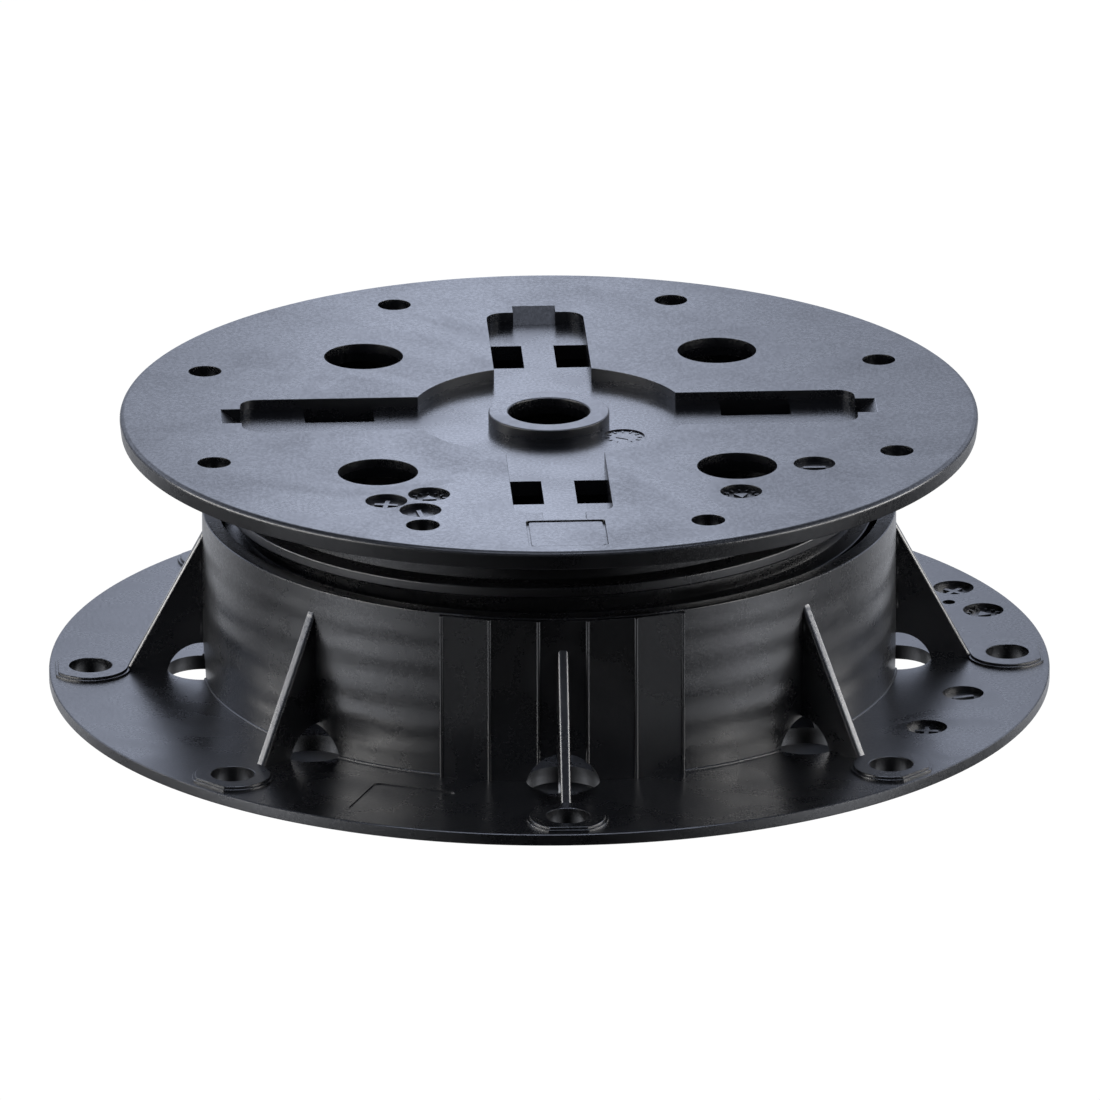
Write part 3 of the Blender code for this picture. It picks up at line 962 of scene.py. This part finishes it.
def attach(tree, shader, gloss, height):
    """Feeds the finished roughness and the height in millimetres to the shader."""
    wire(tree, gloss, shader.inputs["Roughness"])
    bump = tree.nodes.new("ShaderNodeBump")
    bump.inputs["Distance"].default_value = mm
    wire(tree, height, bump.inputs["Height"])
    wire(tree, bump.outputs["Normal"], shader.inputs["Normal"])
    print("plastic:", len(tree.nodes), "nodes")


# %% The head's plastic
head_plastic, tree, shader, gloss, height = polypropylene("head_plastic", 1.48, 0.27, 30.0, 5.0, 0.4)
at, x, y, z, radius, angle = place(tree)
sunk = step(tree, z, rest_height - 2.2 * mm, rest_height - 1.6 * mm, 1.0, 0.0)
inside = step(tree, radius, 63.0 * mm, 64.0 * mm, 1.0, 0.0)
gloss = calc(tree, "SUBTRACT", gloss, times(tree, sunk, inside, 0.08))
attach(tree, shader, gloss, height)

# %% The base's plastic
base_plastic, tree, shader, gloss, height = polypropylene("base_plastic", 1.68, 0.24, 24.0, 8.0, 0.0)
at, x, y, z, radius, angle = place(tree)
on_wall = plateau(tree, radius, 68.9 * mm, 69.1 * mm, 69.4 * mm, 69.8 * mm)
above_foot = plateau(tree, z, 5.0 * mm, 9.0 * mm, 31.0 * mm, 35.0 * mm)
climb = calc(tree, "SUBTRACT", calc(tree, "DIVIDE", z, thread_pitch), calc(tree, "DIVIDE", angle, tau))
wave = calc(tree, "SINE", times(tree, climb, tau))
patches = noise(tree, vector_of(tree, times(tree, angle, 5.0), times(tree, z, 130.0), 0.0), 1.0, 3.0)
uneven = plus(tree, times(tree, step(tree, patches, 0.35, 0.65), 0.5), 0.5)
bands = times(tree, times(tree, wave, uneven), times(tree, on_wall, above_foot))
attach(tree, shader, gloss, plus(tree, height, times(tree, bands, 0.09)))

# %% Each piece gets its plastic, its body, and the solid it stands for
for item, body, plastic in ((head, "head", head_plastic), (base, "base", base_plastic)):
    item.data.materials.clear()
    item.data.materials.append(plastic)
    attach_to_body(item, body)
    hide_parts("pedestal_" + body)
    print(item.name, "rides on", body, "in", plastic.name)

# %% [markdown]
# ## Floor and light
#
# The photograph is a cut-out on pure white. So the floor is a sheet that shines white round the part and
# under all but its front. Under the part's front it is paper of a dark grey, a painted shade where the part's
# own shade falls, which the light falls on as well and which shows through the drains. Reflections don't see
# it.
#
# A black satin part shows almost nothing but what it mirrors, so lamps alone would leave it flat. The light
# is a tent round it: bluish and bright behind, with two low softboxes at the sides and a dim fill above
# them. The world gives what the tent leaves open: the pale table below, dark at the front, and the light
# overhead.

# %% The floor
floor_plane_drop = 0.05 * mm
# The paper under the part's front is a dark grey: painted shade where the part's own shade falls.
painted_shade_brightness = 0.12
bpy.ops.mesh.primitive_plane_add(size=6.0, location=(0.0, 0.0, 0.0))
floor_plane = settle("floor")
floor_plane.data.transform(Matrix.Translation((0.0, 0.0, -floor_plane_drop)))
paper = bpy.data.materials.new("white_paper")
paper.use_nodes = True
tree = paper.node_tree
paper_shader = tree.nodes["Principled BSDF"]
paper_shader.inputs["Roughness"].default_value = 1.0
paper_shader.inputs["Specular IOR Level"].default_value = 0.0
paper_shader.inputs["Emission Strength"].default_value = 1.0
at, x, y, z, radius, angle = place(tree)
# White glow round the part and under all but its front; under the front the paper's colour is darkened, a
# painted shade, and the light still falls on it.
clear = step(tree, radius, 92.0 * mm, 98.0 * mm)
clear = calc(tree, "MAXIMUM", clear, step(tree, y, -40.0 * mm, -30.0 * mm))
painted_shade = times(tree, calc(tree, "SUBTRACT", 1.0, clear), painted_shade_brightness)
wire(tree, painted_shade, paper_shader.inputs["Base Color"])
wire(tree, times(tree, clear, 1.02), paper_shader.inputs["Emission Color"])
floor_plane.data.materials.append(paper)
floor_plane.visible_glossy = False
floor_plane.visible_diffuse = False
print("floor, m:", [round(value, 2) for value in floor_plane.dimensions])


# %% Curves of brightness
def curve(tree, value, stops):
    """A colour ramp of grey. Each stop is a place along it and a brightness, and the ramp eases between."""
    node = tree.nodes.new("ShaderNodeValToRGB")
    wire(tree, value, node.inputs[0])
    ramp = node.color_ramp
    ramp.interpolation = "EASE"
    while len(ramp.elements) < len(stops):
        ramp.elements.new(0.5)
    for element, (position, brightness) in zip(ramp.elements, stops):
        element.position = position
        element.color = (brightness, brightness, brightness, 1.0)
    return node.outputs[0]


def from_front(tree, x, y):
    """How far round from the front a direction is: 0 in front, 1 behind, the same on both sides."""
    angle = calc(tree, "ARCTAN2", x, times(tree, y, -1.0))
    return calc(tree, "DIVIDE", calc(tree, "ABSOLUTE", angle), pi)


# %% Coloured light
def tinted(tree, brightness, colour):
    """A colour at a brightness."""
    node = tree.nodes.new("ShaderNodeVectorMath")
    node.operation = "SCALE"
    node.inputs[0].default_value = colour
    wire(tree, brightness, node.inputs["Scale"])
    return node.outputs[0]


def added(tree, first, second):
    """The sum of two coloured lights."""
    node = tree.nodes.new("ShaderNodeVectorMath")
    node.operation = "ADD"
    wire(tree, first, node.inputs[0])
    wire(tree, second, node.inputs[1])
    return node.outputs[0]


cool = (0.91, 1.0, 1.25)
neutral = (0.97, 1.0, 1.08)
warm = (1.02, 1.0, 0.97)

# %% The tent
tent_radius = 420.0 * mm
tent_top = 620.0 * mm
tent = cylinder("tent", tent_radius, -10.0 * mm, tent_top)
edit(tent, "faces", lambda face: abs(face.normal.z) > 0.5)
bpy.ops.mesh.delete(type="ONLY_FACE")
close(tent)
report(tent, "open above and below")

# %% The tent's light
back_by_side = [(0.0, 0.01), (0.14, 0.02), (0.3, 0.08), (0.5, 0.18),
                (0.7, 0.22), (0.84, 0.24), (0.94, 0.52), (1.0, 1.0)]
back_by_height = [(0.0, 0.24), (0.10, 0.36), (0.27, 0.36), (0.33, 0.48),
                  (0.38, 0.58), (0.55, 0.62), (0.75, 0.45), (1.0, 0.06)]
back_strength = 4.9
softbox_strength = 12.0
fill_strength = 0.8
tent_light = bpy.data.materials.new("tent_light")
tent_light.use_nodes = True
tree = tent_light.node_tree
tree.nodes.remove(tree.nodes["Principled BSDF"])
at, x, y, z, radius, angle = place(tree)
round_it = from_front(tree, x, y)
wall = curve(tree, round_it, back_by_side)
rise = curve(tree, calc(tree, "DIVIDE", z, tent_top), back_by_height)
back_light = times(tree, wall, rise, back_strength)
box_side = plateau(tree, round_it, 0.22, 0.30, 0.54, 0.62)
box_height = plateau(tree, z, 0.05, 0.07, 0.12, 0.15)
softbox = times(tree, box_side, box_height, softbox_strength)
fill_height = plateau(tree, z, 0.09, 0.15, 0.26, 0.36)
fill_front = step(tree, round_it, 0.15, 0.3, 0.25, 1.0)
fill_back = step(tree, round_it, 0.75, 0.92, 1.0, 0.0)
fill = times(tree, fill_height, times(tree, fill_front, fill_back), fill_strength)
back_light = plus(tree, back_light, fill)
glow = tree.nodes.new("ShaderNodeEmission")
wire(tree, added(tree, tinted(tree, back_light, cool), tinted(tree, softbox, warm)), glow.inputs["Color"])
wire(tree, glow.outputs[0], tree.nodes["Material Output"].inputs["Surface"])
tent.data.materials.append(tent_light)
tent.visible_camera = False
print("tent light:", len(tree.nodes), "nodes")

# %% The world
table_by_side = [(0.0, 0.005), (0.1, 0.01), (0.16, 0.08), (0.25, 0.26),
                 (0.41, 0.66), (0.52, 0.22), (0.62, 0.16), (0.78, 0.30)]
table_strength = 2.2
world = bpy.data.worlds.new("studio")
bpy.context.scene.world = world
world.use_nodes = True
tree = world.node_tree
background = tree.nodes["Background"]
split = tree.nodes.new("ShaderNodeSeparateXYZ")
wire(tree, tree.nodes.new("ShaderNodeTexCoord").outputs["Generated"], split.inputs[0])
x, y, z = split.outputs

# %% Below the horizon: the table, brighter further out, and a faint glow straight below
table = times(tree, curve(tree, from_front(tree, x, y), table_by_side), table_strength)
table = times(tree, table, step(tree, z, -0.55, -0.12, 0.35, 1.5))
straight_down = step(tree, z, -0.55, -0.85, 0.0, 1.0)
below = plus(tree, table, times(tree, straight_down, 0.12))

# %% Above the horizon: a soft sky, a lamp overhead, and a strip above the front
above = times(tree, step(tree, y, -0.3, 0.6, 0.03, 0.40), step(tree, z, 0.75, 0.95, 1.0, 0.7))
strip = plateau(tree, z, 0.80, 0.84, 0.91, 0.95)
above = plus(tree, above, step(tree, z, 0.94, 0.98, 0.0, 1.2))
above = plus(tree, above, times(tree, strip, step(tree, y, -0.1, -0.3, 0.0, 5.0)))

# %% Both halves together, with pure white where the camera looks past the part
lower = step(tree, z, -0.06, 0.02, 1.0, 0.0)
upper = calc(tree, "SUBTRACT", 1.0, lower)
light = added(tree, tinted(tree, times(tree, below, lower), neutral),
              tinted(tree, times(tree, above, upper), cool))
seen = tree.nodes.new("ShaderNodeMix")
seen.data_type = "RGBA"
wire(tree, tree.nodes.new("ShaderNodeLightPath").outputs["Is Camera Ray"], seen.inputs["Factor"])
wire(tree, light, seen.inputs["A"])
seen.inputs["B"].default_value = (1.0, 1.0, 1.0, 1.0)
wire(tree, seen.outputs["Result"], background.inputs["Color"])
background.inputs["Strength"].default_value = 1.0
print("world:", len(tree.nodes), "nodes")

# %% [markdown]
# ## The camera
#
# The camera stands where the photograph was taken from: four metres away, about 20 degrees above the part,
# with a long lens. Its numbers come from a fit to the outlines of both discs, the barrel and the holes. A
# camera placed by eye would be close, but then no hole would lie exactly where the photograph has it.

# %% The camera
focal_pixels = 20117
photo_pixels = 1100
camera_elevation = radians(19.68)
camera_azimuth = radians(-92.2)
camera_distance = 4.022
camera_roll = -0.0019
target = Vector((0.17 * mm, 0.0, 26.8 * mm))
camera_data = bpy.data.cameras.new("camera")
camera_data.sensor_width = 36.0
camera_data.lens = focal_pixels / photo_pixels * camera_data.sensor_width
camera_data.clip_end = 20.0
camera = bpy.data.objects.new("camera", camera_data)
bpy.context.scene.collection.objects.link(camera)
camera.location = (camera_distance * cos(camera_elevation) * cos(camera_azimuth),
                   camera_distance * cos(camera_elevation) * sin(camera_azimuth),
                   camera_distance * sin(camera_elevation) + 0.8 * mm)
facing = (target - camera.location).to_track_quat("-Z", "Y").to_matrix()
camera.rotation_euler = (facing @ Matrix.Rotation(camera_roll, 3, "Z")).to_euler()
bpy.context.scene.camera = camera
bpy.context.scene.view_settings.view_transform = "Standard"
print("lens, mm:", round(camera_data.lens, 1))
